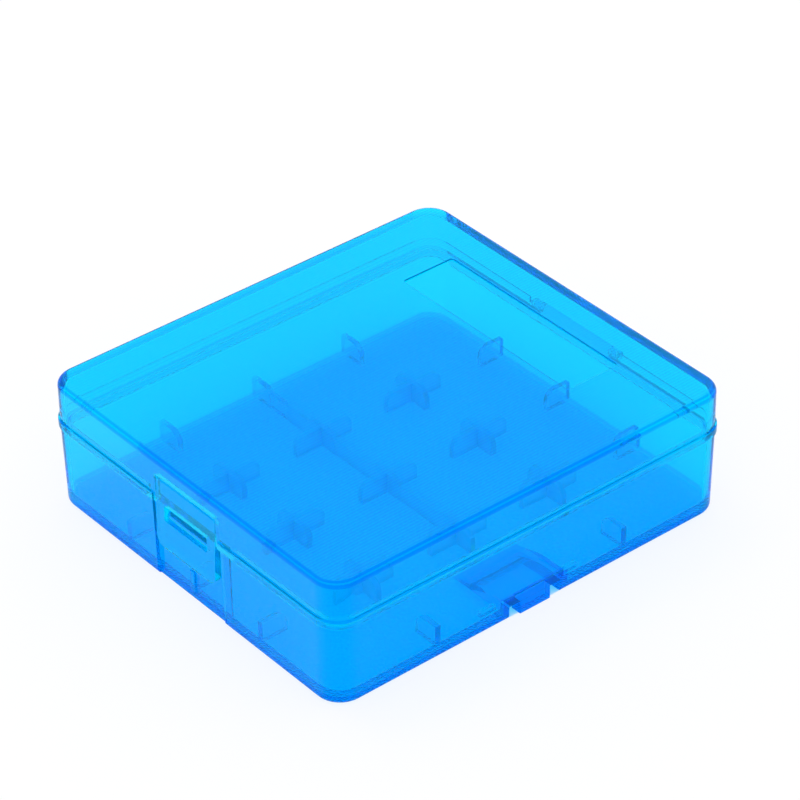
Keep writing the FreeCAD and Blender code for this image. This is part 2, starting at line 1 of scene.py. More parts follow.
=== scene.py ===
"""A translucent blue battery case: base tray, hinged lid and drop latch.

Sizes are in millimetres in the case's own frame and are scaled to metres when a piece is
finished. +Z is up, the latch is at -Y, the hinge at +Y and the cord eye at +X.
"""
import logging
import math
from collections.abc import Callable
from dataclasses import dataclass
from enum import Enum
from functools import partial

import bmesh
import bpy
from mathutils import Matrix, Vector


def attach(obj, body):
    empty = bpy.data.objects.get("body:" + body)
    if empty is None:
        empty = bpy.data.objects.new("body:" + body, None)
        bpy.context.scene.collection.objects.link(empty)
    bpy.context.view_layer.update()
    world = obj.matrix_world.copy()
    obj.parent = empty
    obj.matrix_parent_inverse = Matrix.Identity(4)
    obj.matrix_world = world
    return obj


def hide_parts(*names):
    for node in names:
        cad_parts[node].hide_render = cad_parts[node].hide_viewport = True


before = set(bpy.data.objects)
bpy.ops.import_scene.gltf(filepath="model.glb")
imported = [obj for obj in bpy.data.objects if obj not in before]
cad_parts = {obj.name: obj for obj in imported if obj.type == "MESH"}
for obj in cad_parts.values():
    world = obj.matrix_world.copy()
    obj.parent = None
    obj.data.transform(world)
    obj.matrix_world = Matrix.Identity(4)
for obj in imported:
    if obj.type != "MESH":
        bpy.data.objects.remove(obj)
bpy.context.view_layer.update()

log = logging.getLogger("battery_case")

MILLIMETRE = 0.001
CLEAR = 2.0  # how far a cutter reaches past what it cuts
SINK = 0.01  # how far a face stays off one that it would share a plane with
FINE_EDGE = 0.1  # radius of the finest eased edges
SMALL_EDGE = 0.12
BEVEL_STEPS = 3
ROD_STEPS = 32
MERGE_DISTANCE = 1e-4
SHARP_ANGLE = 32  # degrees from which an edge is shaded sharp

Point2 = tuple[float, float]
Point3 = tuple[float, float, float]
Point4 = tuple[float, float, float, float]
Station = Point3  # inset, height and corner radius
Solid = bpy.types.Object
Socket = bpy.types.NodeSocket


class Axis(Enum):
    """The axis that a profile is drawn across and extruded along."""

    X = 0
    Y = 1
    Z = 2

    def place(self, across: float, up: float, along: float) -> Vector:
        """Put a profile point into space.

        Args:
            across: First profile coordinate.
            up: Second profile coordinate.
            along: Distance along this axis.

        Returns:
            The point; X takes (y, z), Y takes (x, z) and Z takes (x, y).
        """
        point = [across, up]
        point.insert(self.value, along)
        return Vector(point)


class Join(Enum):
    """How pieces are combined into one closed solid."""

    WELD = "UNION"
    CUT = "DIFFERENCE"
    COMMON = "INTERSECT"


# ---- outlines

def bend(centre: Point2, radius: float, start: float, end: float, steps: int) -> list[Point2]:
    """Points along an arc.

    Args:
        centre: Middle of the arc.
        radius: Its radius.
        start: First angle in degrees, anticlockwise from the first axis.
        end: Last angle in degrees.
        steps: Number of chords.

    Returns:
        The points, both ends included.
    """
    turns = [math.radians(start + (end - start) * step / steps) for step in range(steps + 1)]
    across, up = centre
    return [(across + radius * math.cos(turn), up + radius * math.sin(turn)) for turn in turns]


def eased(corners: list[tuple[float, ...]], steps: int = 8) -> list[Point2]:
    """Round the corners of a closed outline.

    Args:
        corners: (across, up) for a sharp corner or (across, up, radius) for a rounded one.
        steps: Chords in each rounded corner.

    Returns:
        The outline's points in the same order.
    """
    points: list[Point2] = []
    for index, corner in enumerate(corners):
        here = Vector(corner[:2])
        if len(corner) < 3:
            points.append((here.x, here.y))
            continue
        before = (Vector(corners[index - 1][:2]) - here).normalized()
        after = (Vector(corners[(index + 1) % len(corners)][:2]) - here).normalized()
        half = before.angle(after) / 2
        middle = here + (before + after).normalized() * (corner[2] / math.sin(half))
        first = here + before * (corner[2] / math.tan(half)) - middle
        last = here + after * (corner[2] / math.tan(half)) - middle
        sweep = first.angle_signed(last)
        for step in range(steps + 1):
            turned = first.copy()
            turned.rotate(Matrix.Rotation(-sweep * step / steps, 2))
            points.append((middle.x + turned.x, middle.y + turned.y))
    return points


def box_corners(left: float, right: float, low: float, high: float) -> list[tuple[float, ...]]:
    """The four sharp corners of a rectangle."""
    return [(left, low), (right, low), (right, high), (left, high)]


# ---- solids

def show(thing: Solid) -> None:
    """Link an object to the scene."""
    bpy.context.scene.collection.objects.link(thing)


def new_piece(name: str, shape: bmesh.types.BMesh) -> Solid:
    """Turn a bmesh into an object with its faces pointing outwards.

    Args:
        name: Name of the object and its mesh.
        shape: The closed bmesh; it is freed.

    Returns:
        The linked object.
    """
    bmesh.ops.recalc_face_normals(shape, faces=shape.faces)
    mesh = bpy.data.meshes.new(name)
    shape.to_mesh(mesh)
    shape.free()
    piece = bpy.data.objects.new(name, mesh)
    show(piece)
    return piece


def prism(name: str, outline: list[Point2], axis: Axis, low: float, high: float,
          edge: float = 0.0) -> Solid:
    """Extrude an outline and ease the edges of its two ends.

    Args:
        name: Name of the object.
        outline: Closed profile across the axis.
        axis: Extrusion axis.
        low: Lower end along the axis.
        high: Upper end along the axis.
        edge: Radius of the end edges, or zero for sharp ones.

    Returns:
        The solid.
    """
    shape = bmesh.new()
    ends = [[shape.verts.new(axis.place(*point, along)) for point in outline]
            for along in (low, high)]
    caps = [shape.faces.new(ring) for ring in ends]
    for index in range(len(outline)):
        after = (index + 1) % len(outline)
        shape.faces.new((ends[0][index], ends[0][after], ends[1][after], ends[1][index]))
    bmesh.ops.recalc_face_normals(shape, faces=shape.faces)
    if edge > 0:
        rims = [rim for cap in caps for rim in cap.edges]
        bmesh.ops.bevel(shape, geom=rims, offset=edge, segments=BEVEL_STEPS, profile=0.5,
                        affect="EDGES", clamp_overlap=True)
    return new_piece(name, shape)


def rod(name: str, centre: Point2, radius: float, low: float, high: float,
        edge: float = 0.0) -> Solid:
    """A round rod along X.

    Args:
        name: Name of the object.
        centre: (y, z) of its axis.
        radius: Its radius.
        low: Lower end in x.
        high: Upper end in x.
        edge: Radius of the end edges.

    Returns:
        The solid.
    """
    return prism(name, bend(centre, radius, 0, 360, ROD_STEPS)[:-1], Axis.X, low, high, edge)


def loft(name: str, half_length: float, half_depth: float, stations: list[Station],
         steps: int = 12) -> Solid:
    """A closed shell whose sections are rounded rectangles.

    Args:
        name: Name of the object.
        half_length: Half the outer length along X.
        half_depth: Half the outer depth along Y.
        stations: (inset, height, corner radius) of each section; the first and last are capped.
        steps: Chords in each corner.

    Returns:
        The solid.
    """
    shape = bmesh.new()
    rings = []
    for inset, height, radius in stations:
        across, deep = half_length - inset, half_depth - inset
        middles = ((across - radius, deep - radius), (radius - across, deep - radius),
                   (radius - across, radius - deep), (across - radius, radius - deep))
        section = [point for quarter, middle in enumerate(middles)
                   for point in bend(middle, radius, quarter * 90, quarter * 90 + 90, steps)]
        rings.append([shape.verts.new((*point, height)) for point in section])
    for lower, upper in zip(rings, rings[1:]):
        for index in range(len(lower)):
            after = (index + 1) % len(lower)
            shape.faces.new((lower[index], lower[after], upper[after], upper[index]))
    shape.faces.new(rings[0])
    shape.faces.new(rings[-1])
    return new_piece(name, shape)


def plain_mesh(piece: Solid) -> None:
    """Replace an object's mesh by the evaluated one and drop its modifiers.

    Args:
        piece: The object.
    """
    graph = bpy.context.evaluated_depsgraph_get()
    mesh = bpy.data.meshes.new_from_object(piece.evaluated_get(graph), depsgraph=graph)
    mesh.name = piece.name
    piece.modifiers.clear()
    piece.data = mesh


def combine(target: Solid, tools: list[Solid], how: Join) -> None:
    """Weld tools to a solid, cut them out of it, or keep what they share.

    Args:
        target: The solid that is changed.
        tools: The other solids; they are removed.
        how: The kind of combination.
    """
    kit = bpy.data.collections.new(f"{target.name}_tools")
    bpy.context.scene.collection.children.link(kit)
    for tool in tools:
        bpy.context.scene.collection.objects.unlink(tool)
        kit.objects.link(tool)
    boolean = target.modifiers.new("combine", "BOOLEAN")
    boolean.operation = how.value
    boolean.operand_type = "COLLECTION"
    boolean.collection = kit
    boolean.solver = "EXACT"
    plain_mesh(target)
    for tool in tools:
        mesh = tool.data
        bpy.data.objects.remove(tool)
        bpy.data.meshes.remove(mesh)
    bpy.data.collections.remove(kit)


def mirrored_pair(maker: Callable[[float, float], Solid], low: float,
                  high: float) -> list[Solid]:
    """Make the same piece on both sides of the YZ plane.

    Args:
        maker: Called as maker(low, high) along X.
        low: Inner end on the right-hand side.
        high: Outer end on the right-hand side.

    Returns:
        The right-hand and the left-hand piece.
    """
    return [maker(low, high), maker(-high, -low)]


def finish_solid(piece: Solid) -> None:
    """Clean a finished solid, scale it to metres and set its shading normals.

    Args:
        piece: The solid, in millimetres.
    """
    shape = bmesh.new()
    shape.from_mesh(piece.data)
    bmesh.ops.remove_doubles(shape, verts=shape.verts, dist=MERGE_DISTANCE)
    bmesh.ops.dissolve_degenerate(shape, edges=shape.edges, dist=MERGE_DISTANCE)
    open_edges = sum(1 for rim in shape.edges if not rim.is_manifold)
    shape.transform(Matrix.Scale(MILLIMETRE, 4))
    shape.to_mesh(piece.data)
    shape.free()
    piece.data.shade_smooth()
    piece.data.set_sharp_from_angle(angle=math.radians(SHARP_ANGLE))
    normals = piece.modifiers.new("normals", "WEIGHTED_NORMAL")
    normals.keep_sharp = True
    plain_mesh(piece)
    log.info("%s: %d faces, %d open edges", piece.name, len(piece.data.polygons), open_edges)


# ---- nodes

def compute(tree: bpy.types.NodeTree, operation: str, first: Socket | float,
            second: Socket | float = 0.0) -> Socket:
    """Add a maths node.

    Args:
        tree: The node tree that it is added to.
        operation: Kind of the maths node.
        first: First socket or number.
        second: Second socket or number.

    Returns:
        The node's output.
    """
    node = tree.nodes.new("ShaderNodeMath")
    node.operation = operation
    for slot, value in enumerate((first, second)):
        if isinstance(value, Socket):
            tree.links.new(value, node.inputs[slot])
        else:
            node.inputs[slot].default_value = value
    return node.outputs[0]


# ---- repeated pieces

class GridRepeater:
    """A Geometry Nodes tree that stands copies of one piece on a regular grid."""

    def __init__(self) -> None:
        """Build the tree once."""
        self.tree = bpy.data.node_groups.new("grid_of_pieces", "GeometryNodeTree")
        self.inputs: dict[str, str] = {}
        for name, kind in (("Piece", "NodeSocketObject"), ("Columns", "NodeSocketInt"),
                           ("Rows", "NodeSocketInt"), ("Column Pitch", "NodeSocketFloat"),
                           ("Row Pitch", "NodeSocketFloat"), ("Start", "NodeSocketVector"),
                           ("Material", "NodeSocketMaterial")):
            socket = self.tree.interface.new_socket(name, in_out="INPUT", socket_type=kind)
            self.inputs[name] = socket.identifier
        self.tree.interface.new_socket("Geometry", in_out="OUTPUT",
                                       socket_type="NodeSocketGeometry")
        self._wire()

    def _wire(self) -> None:
        """Lay the points out by their index, then stand the piece on each."""
        nodes, links, maths = self.tree.nodes, self.tree.links, partial(compute, self.tree)
        given = nodes.new("NodeGroupInput").outputs
        index = nodes.new("GeometryNodeInputIndex").outputs[0]
        column = maths("MODULO", index, given["Columns"])
        row = maths("FLOOR", maths("DIVIDE", index, given["Columns"]))
        place = nodes.new("ShaderNodeCombineXYZ")
        links.new(maths("MULTIPLY", column, given["Column Pitch"]), place.inputs["X"])
        links.new(maths("MULTIPLY", row, given["Row Pitch"]), place.inputs["Y"])
        shift = nodes.new("ShaderNodeVectorMath")
        links.new(place.outputs[0], shift.inputs[0])
        links.new(given["Start"], shift.inputs[1])
        points = nodes.new("GeometryNodePoints")
        links.new(maths("MULTIPLY", given["Columns"], given["Rows"]), points.inputs["Count"])
        links.new(shift.outputs[0], points.inputs["Position"])
        source = nodes.new("GeometryNodeObjectInfo")
        links.new(given["Piece"], source.inputs["Object"])
        copies = nodes.new("GeometryNodeInstanceOnPoints")
        links.new(points.outputs[0], copies.inputs["Points"])
        links.new(source.outputs["Geometry"], copies.inputs["Instance"])
        solid = nodes.new("GeometryNodeRealizeInstances")
        links.new(copies.outputs[0], solid.inputs[0])
        dressed = nodes.new("GeometryNodeSetMaterial")
        links.new(solid.outputs[0], dressed.inputs["Geometry"])
        links.new(given["Material"], dressed.inputs["Material"])
        links.new(dressed.outputs[0], nodes.new("NodeGroupOutput").inputs[0])

    def lay_out(self, piece: Solid, start: Vector, columns: int, rows: int,
                pitch: Point2, material: bpy.types.Material) -> Solid:
        """Repeat a piece and return the copies as one plain mesh.

        Args:
            piece: The piece, modelled about the origin; it is removed.
            start: Place of the first copy.
            columns: Copies along X.
            rows: Copies along Y.
            pitch: Distance between copies along X and along Y.
            material: Finish of the copies.

        Returns:
            One object that holds every copy.
        """
        title = f"{piece.name}_grid"
        host = bpy.data.objects.new(title, bpy.data.meshes.new(title))
        show(host)
        modifier = host.modifiers.new("grid", "NODES")
        modifier.node_group = self.tree
        values = {"Piece": piece, "Columns": columns, "Rows": rows, "Column Pitch": pitch[0],
                  "Row Pitch": pitch[1], "Start": tuple(start), "Material": material}
        for name, value in values.items():
            modifier[self.inputs[name]] = value
        plain_mesh(host)
        mesh = piece.data
        bpy.data.objects.remove(piece)
        bpy.data.meshes.remove(mesh)
        return host


# ---- finishes

# Limits on the squared upward part of a face's normal: 0 is upright and 1 is level.
LEVEL_OVER = 0.8
ROUNDED_UNDER = 0.97
SLOPE_MIDDLE, SLOPE_SPREAD = 0.5, 0.15


def texture_and_shade_group() -> bpy.types.NodeTree:
    """The shared node group that tells textured level faces from polished ones and paints shade.

    Returns:
        A group with three outputs. Mask is 1 on level faces between two heights and on what
        stands above them in the middle. Tone is how far the tint has gone to its darker colour:
        grain and fine lines along Y on the level faces, whose mean darkening is partly painted
        shade; full painted shade on the low patch round the cord eye beyond Eye Shade X and,
        between the two shaded edge heights, on faces that neither are level nor lean halfway.
        Height is the fine moulded grain.
    """
    tree = bpy.data.node_groups.new("moulded_texture", "ShaderNodeTree")
    for name, default in (("Low", 0.0), ("High", 0.001), ("Edge Low", 1.0), ("Edge High", 1.0),
                          ("Middle X", 0.026), ("Middle Y", 0.029), ("Patch X", 1.0),
                          ("Patch Y", 0.0065), ("Patch Z", 0.004), ("Level Tone", 1.0),
                          ("Grain Scale", 2200.0), ("Grain", 1.0), ("Line Pitch", 0.00062),
                          ("Lines", 0.0)):
        socket = tree.interface.new_socket(name, in_out="INPUT", socket_type="NodeSocketFloat")
        socket.default_value = default
    for name in ("Mask", "Tone", "Height"):
        tree.interface.new_socket(name, in_out="OUTPUT", socket_type="NodeSocketFloat")
    nodes, links, maths = tree.nodes, tree.links, partial(compute, tree)
    given = nodes.new("NodeGroupInput").outputs
    result = nodes.new("NodeGroupOutput").inputs
    where = nodes.new("ShaderNodeTexCoord").outputs
    place = nodes.new("ShaderNodeSeparateXYZ")
    links.new(where["Object"], place.inputs[0])
    facing = nodes.new("ShaderNodeSeparateXYZ")
    links.new(where["Normal"], facing.inputs[0])
    levelness = maths("MULTIPLY", facing.outputs["Z"], facing.outputs["Z"])

    def band(low: str, high: str) -> Socket:
        """A mask that is 1 between the heights that two inputs hold."""
        above = maths("GREATER_THAN", place.outputs["Z"], given[low])
        return maths("MULTIPLY", above, maths("LESS_THAN", place.outputs["Z"], given[high]))

    def within(axis: str, limit: str) -> Socket:
        """A mask that is 1 where an axis reads less than an input on either side of zero."""
        return maths("LESS_THAN", maths("ABSOLUTE", place.outputs[axis]), given[limit])

    level = maths("MULTIPLY", maths("GREATER_THAN", levelness, LEVEL_OVER), band("Low", "High"))
    # Painted shade: between the two shaded edge heights, faces that are neither level nor lean
    # halfway (the rounded and upright edges) take the full darker tint.
    off_middle = maths("ABSOLUTE", maths("SUBTRACT", levelness, SLOPE_MIDDLE))
    rounded = maths("MULTIPLY", maths("LESS_THAN", levelness, ROUNDED_UNDER),
                    maths("GREATER_THAN", off_middle, SLOPE_SPREAD))
    edge = maths("MULTIPLY", rounded, band("Edge Low", "Edge High"))
    middle = maths("MULTIPLY", within("X", "Middle X"), within("Y", "Middle Y"))
    raised = maths("MULTIPLY", middle, maths("GREATER_THAN", place.outputs["Z"], given["High"]))
    # Painted shade: the low patch round the cord eye's hump takes the full darker tint.
    eye_shade = maths("MULTIPLY", within("Y", "Patch Y"),
                  maths("GREATER_THAN", place.outputs["X"], given["Patch X"]))
    eye_shade = maths("MULTIPLY", eye_shade, maths("LESS_THAN", place.outputs["Z"], given["Patch Z"]))
    # All painted shade: the shaded edges and the patch round the cord eye.
    painted_shade = maths("MAXIMUM", edge, eye_shade)
    grain = nodes.new("ShaderNodeTexNoise")
    grain.inputs["Detail"].default_value = 2.0
    links.new(where["Object"], grain.inputs["Vector"])
    links.new(given["Grain Scale"], grain.inputs["Scale"])
    turns = maths("DIVIDE", place.outputs["X"], given["Line Pitch"])
    lines = maths("SINE", maths("MULTIPLY", turns, math.tau))
    spots = maths("SUBTRACT", grain.outputs["Fac"], 0.5)
    pattern = maths("ADD", maths("MULTIPLY", spots, given["Grain"]),
                    maths("MULTIPLY", lines, given["Lines"]))
    # Level faces darken by this tone with the grain and lines; on the tray's floor the mean
    # darkening is painted shade.
    shade = maths("MULTIPLY", maths("ADD", pattern, 1.0), given["Level Tone"])
    links.new(maths("MAXIMUM", level, raised), result["Mask"])
    links.new(maths("MAXIMUM", maths("MULTIPLY", level, shade), painted_shade), result["Tone"])
    links.new(maths("MULTIPLY", level, maths("MULTIPLY", spots, given["Grain"])),
              result["Height"])
    return tree


@dataclass(frozen=True)
class ClearBluePlastic:
    """Translucent blue moulded plastic, polished with a textured band of level faces; its darker
    tint also paints shade on rounded edges, round the cord eye and partly on level faces.
    """

    name: str
    polish: float = 0.05
    frost: float = 0.1
    frost_low: float = 0.0
    frost_high: float = 0.0
    # Heights between which rounded and upright faces are painted with shade.
    shaded_edge_low: float = 1.0
    shaded_edge_high: float = 1.0
    # Darkening of level faces: grain tone, and on the tray's floor partly painted shade.
    level_tone_and_shade: float = 1.0
    # Where along X the painted shade round the cord eye begins.
    eye_shade_from: float = 1.0
    relief: float = 0.0
    grain: float = 1.0
    lines: float = 0.0
    body_colour: Point3 = (0.0, 0.98, 1.0)
    # Darker tint: the frosted tone, and painted shade on the shaded edges, round the cord eye and
    # partly on the floor.
    frost_and_shade_colour: Point3 = (0.0, 0.90, 1.0)
    sheen_tint: Point3 = (0.0, 0.8, 1.0)
    pass_colour: Point3 = (0.1, 0.92, 1.0)
    absorbing_colour: Point3 = (0.0, 0.915, 1.0)
    density: float = 1200.0
    clearness: float = 0.9
    ior: float = 1.18

    def make(self, texture_and_shade: bpy.types.NodeTree) -> bpy.types.Material:
        """Build the material.

        Args:
            texture_and_shade: The shared moulded_texture group.

        Returns:
            The material.
        """
        material = bpy.data.materials.new(self.name)
        material.use_nodes = True
        tree = material.node_tree
        nodes, links = tree.nodes, tree.links
        nodes.clear()
        plastic = nodes.new("ShaderNodeBsdfPrincipled")
        plastic.inputs["IOR"].default_value = self.ior
        plastic.inputs["Transmission Weight"].default_value = self.clearness
        plastic.inputs["Specular Tint"].default_value = (*self.sheen_tint, 1)
        shade_and_texture = nodes.new("ShaderNodeGroup")
        shade_and_texture.node_tree = texture_and_shade
        # The edge heights, the eye patch and the level tone set where the darker tint paints shade.
        for name, value in (("Low", self.frost_low), ("High", self.frost_high),
                            ("Edge Low", self.shaded_edge_low), ("Edge High", self.shaded_edge_high),
                            ("Level Tone", self.level_tone_and_shade), ("Patch X", self.eye_shade_from),
                            ("Grain", self.grain), ("Lines", self.lines)):
            shade_and_texture.inputs[name].default_value = value
        # Mixes the body colour towards the darker colour, which is partly painted shade.
        tint = nodes.new("ShaderNodeMix")
        tint.data_type = "RGBA"
        tint.inputs["A"].default_value = (*self.body_colour, 1)
        tint.inputs["B"].default_value = (*self.frost_and_shade_colour, 1)
        links.new(shade_and_texture.outputs["Tone"], tint.inputs["Factor"])
        links.new(tint.outputs["Result"], plastic.inputs["Base Color"])
        spread = nodes.new("ShaderNodeMapRange")
        spread.inputs["To Min"].default_value = self.polish
        spread.inputs["To Max"].default_value = self.frost
        links.new(shade_and_texture.outputs["Mask"], spread.inputs["Value"])
        links.new(spread.outputs[0], plastic.inputs["Roughness"])
        bump = nodes.new("ShaderNodeBump")
        bump.inputs["Distance"].default_value = self.relief
        links.new(shade_and_texture.outputs["Height"], bump.inputs["Height"])
        links.new(bump.outputs[0], plastic.inputs["Normal"])
        light = nodes.new("ShaderNodeLightPath").outputs
        scattered = compute(tree, "MAXIMUM", light["Is Shadow Ray"], light["Is Diffuse Ray"])
        window = nodes.new("ShaderNodeBsdfTransparent")
        window.inputs["Color"].default_value = (*self.pass_colour, 1)
        choice = nodes.new("ShaderNodeMixShader")
        links.new(scattered, choice.inputs[0])
        links.new(plastic.outputs[0], choice.inputs[1])
        links.new(window.outputs[0], choice.inputs[2])
        depth = nodes.new("ShaderNodeVolumeAbsorption")
        depth.inputs["Color"].default_value = (*self.absorbing_colour, 1)
        depth.inputs["Density"].default_value = self.density
        output = nodes.new("ShaderNodeOutputMaterial")
        links.new(choice.outputs[0], output.inputs["Surface"])
        links.new(depth.outputs[0], output.inputs["Volume"])
        return material


# ---- sub-assemblies

@dataclass(frozen=True)
class Envelope:
    """Sizes that the three mouldings share."""

    half_length: float = 36.0
    half_depth: float = 39.65
    height: float = 23.2
    parting: float = 14.75
    lid_foot: float = 14.80
    corner: float = 4.45
    wall: float = 1.2
    draft: float = 0.25
    inner_round: float = 0.6
    pivot: Point2 = (-39.05, 19.3)
    hinge: Point2 = (40.65, 14.8)
    hinge_radius: float = 0.85
    hinge_pin: float = 0.45
    hinge_half: float = 8.3
    hinge_lug: float = 1.8
    side_gap: float = 0.2
    pin_gap: float = 0.05


@dataclass
class BaseTray:
    """The lower moulding: shell, latch bay, cell posts, fins, rib, cord eye and hinge barrel."""

    box: Envelope
    repeater: GridRepeater
    material: bpy.types.Material
    floor: float = 1.8
    foot_round: float = 0.9
    lip_round: float = 0.12
    pitch: Point2 = (16.7, 18.95)
    columns: int = 3
    rows: int = 3
    post_top: float = 5.4
    post_reach: Point2 = (3.9, 5.7)
    post_round: float = 2.0
    web: float = 1.1
    web_edge: float = 0.15
    fin_reach: float = 5.0
    rib_top: float = 4.6
    rib: float = 0.9
    root: float = 0.6
    bay_half: float = 8.6
    bay_face: float = -38.75
    backing_flank: float = 0.4
    backing_lap: float = 0.3
    backing_drop: float = 0.02
    catch_half: float = 5.1
    catch_depth: float = 0.65
    catch_heights: Point4 = (12.7, 12.92, 13.65, 14.3)
    catch_rounds: Point2 = (0.12, 0.15)
    eye_half: float = 5.35
    eye_top: float = 2.5
    eye_skin: float = 1.1
    eye_level: float = 29.5
    eye_end: float = 24.5
    eye_bend: float = 12.0
    eye_foot: float = -0.3
    eye_edge: float = 0.3
    hump_tail: float = 3.0
    hump_edge: float = 0.35
    bar_depth: float = 2.2
    bar_half: float = 3.1
    bar_rounds: Point2 = (0.3, 0.2)
    stop_faces: Point2 = (33.1, 33.9)
    stop_ends: Point2 = (6.7, 9.8)
    stop_top: float = 2.8
    gusset_foot: float = 12.4

    def shell(self) -> Solid:
        """Walls and floor as one lofted skin, inside and out.

        Returns:
            The open box.
        """
        box, top, wall, lip = self.box, self.box.parting, self.box.wall, self.lip_round

        def station(offset: float, height: float) -> Station:
            """A section set in from the leaning outer face."""
            lean = box.draft * (1 - height / top)
            return (offset + lean, height, box.corner - offset)

        foot = bend((self.foot_round, self.foot_round), self.foot_round, 270, 180, steps=8)
        outer_lip = bend((lip, top - lip), lip, 180, 90, steps=3)
        inner_lip = bend((wall - lip, top - lip), lip, 90, 0, steps=3)
        bottom = (wall + box.inner_round, self.floor + box.inner_round)
        inside = bend(bottom, box.inner_round, 180, 270, steps=6)
        stations = [station(*point) for point in foot + outer_lip + inner_lip + inside]
        return loft("base_tray_moulding", box.half_length, box.half_depth, stations)

    def bay_backing(self) -> Solid:
        """The thicker wall behind the latch bay, with sloped sides.

        Returns:
            The solid.
        """
        wide = self.bay_half + 2 * self.box.wall
        narrow = self.bay_half + self.backing_flank
        front, back = self.bay_face - self.backing_lap, self.bay_face + self.box.wall
        outline = [(-wide, front), (wide, front), (narrow, back), (-narrow, back)]
        top = self.box.parting - self.backing_drop
        return prism("bay_backing", outline, Axis.Z, self.root, top)

    def bay_cut(self) -> Solid:
        """The hollow that the latch plate hangs in."""
        outline = box_corners(-self.bay_half, self.bay_half, -self.box.half_depth - CLEAR,
                              self.bay_face)
        return prism("bay_cut", outline, Axis.Z, -CLEAR, self.box.parting + CLEAR)

    def catch(self) -> Solid:
        """The ridge that the latch's window snaps over.

        Returns:
            The solid.
        """
        face, crest = self.bay_face, self.bay_face - self.catch_depth
        buried = face + self.root
        foot, chin, brow, top = self.catch_heights
        chin_round, brow_round = self.catch_rounds
        outline = eased([(buried, foot), (face, foot), (crest, chin, chin_round),
                         (crest, brow, brow_round), (face, top), (buried, top)], steps=4)
        half = self.catch_half
        return prism("catch_ridge", outline, Axis.X, -half, half, FINE_EDGE)

    def post(self) -> Solid:
        """One cross-shaped cell post about the origin.

        Returns:
            The two arms, welded.
        """
        arms = []
        foot, half = self.floor - self.root, self.web / 2
        for axis, reach in zip((Axis.Y, Axis.X), self.post_reach):
            outline = eased([(-reach, foot), (reach, foot), (reach, self.post_top, self.post_round),
                             (-reach, self.post_top, self.post_round)])
            arms.append(prism("cell_post", outline, axis, -half, half, self.web_edge))
        combine(arms[0], arms[1:], Join.WELD)
        return arms[0]

    def fin(self, axis: Axis, wall: float, way: int) -> Solid:
        """One wall fin.

        Args:
            axis: Axis along the fin's thickness.
            wall: Inner face of the wall that carries it.
            way: Side of the wall, -1 or 1.

        Returns:
            The fin, at zero along its axis.
        """
        foot, half = self.floor - self.root, self.web / 2
        buried, free = way * (wall + self.root), way * (wall - self.fin_reach)
        outline = eased([(buried, foot), (free, foot), (free, self.post_top, self.post_round),
                         (buried, self.post_top)])
        return prism("wall_fin", outline, axis, -half, half, self.web_edge)

    def cell_grid(self) -> list[Solid]:
        """Posts and fins in their rows; the cord eye takes the middle fin's place on the right.

        Returns:
            The posts, then the fins wall by wall.
        """
        across, deep = self.pitch
        side = self.box.half_length - self.box.wall
        end = self.box.half_depth - self.box.wall
        grids = [self.repeater.lay_out(self.post(), Vector((-across, -deep, 0)), self.columns,
                                       self.rows, self.pitch, self.material)]
        row, column = Vector((-across, 0, 0)), Vector((0, -deep, 0))
        for axis, wall, way, start, columns, rows, pitch in (
                (Axis.X, end, -1, row, self.columns, 1, self.pitch),
                (Axis.X, end, 1, row, self.columns, 1, self.pitch),
                (Axis.Y, side, -1, column, 1, self.rows, self.pitch),
                (Axis.Y, side, 1, column, 1, self.rows - 1, (across, deep * 2))):
            fin = self.fin(axis, wall, way)
            grids.append(self.repeater.lay_out(fin, start, columns, rows, pitch, self.material))
        return grids

    def rib_bar(self) -> Solid:
        """The low rib between the two banks of cells."""
        outline = box_corners(self.root - self.box.half_length, self.pitch[0] + self.post_reach[0],
                              self.floor - self.root, self.rib_top)
        return prism("centre_rib", outline, Axis.Y, -self.rib / 2, self.rib / 2, SMALL_EDGE)

    def eye_hump(self) -> Solid:
        """The hump inside that covers the cord eye.

        Returns:
            The solid.
        """
        buried = self.box.half_length - self.box.wall + self.root
        foot, top = self.floor - self.root, self.eye_top + self.eye_skin
        fall = self.eye_end - self.eye_skin
        tail = fall - self.hump_tail
        outline = eased([(buried, foot), (buried, top), (self.eye_level, top, self.eye_bend),
                         (fall, self.floor, self.eye_bend), (tail, self.floor - SINK),
                         (tail, foot)], steps=10)
        half = self.eye_half + self.eye_skin
        return prism("eye_hump", outline, Axis.Y, -half, half, self.hump_edge)

    def eye_cut(self) -> Solid:
        """The hollow of the cord eye, open below and through the wall.

        Returns:
            The cutter.
        """
        outer, top = self.box.half_length + CLEAR, self.eye_top
        outline = eased([(outer, -CLEAR), (outer, top), (self.eye_level, top, self.eye_bend),
                         (self.eye_end, self.eye_foot), (self.eye_end, -CLEAR)], steps=10)
        return prism("eye_cut", outline, Axis.Y, -self.eye_half, self.eye_half, self.eye_edge)

    def eye_bar(self) -> Solid:
        """The bar that the cord goes round.

        Returns:
            The solid.
        """
        face = self.box.half_length - self.box.draft
        back, half = face - self.bar_depth, self.bar_half
        back_round, face_round = self.bar_rounds
        outline = eased([(back, -half, back_round), (face, -half, face_round),
                         (face, half, face_round), (back, half, back_round)], steps=4)
        return prism("eye_bar", outline, Axis.Z, 0, self.eye_top + self.root, FINE_EDGE)

    def stops(self) -> list[Solid]:
        """The two bars that hold the cells off the right-hand wall.

        Returns:
            The front bar and the rear bar.
        """
        near, far = self.stop_ends
        foot = self.floor - self.root
        bars = []
        for way in (-1, 1):
            outline = box_corners(*self.stop_faces, *sorted((way * near, way * far)))
            bars.append(prism("end_stop", outline, Axis.Z, foot, self.stop_top, SMALL_EDGE))
        return bars

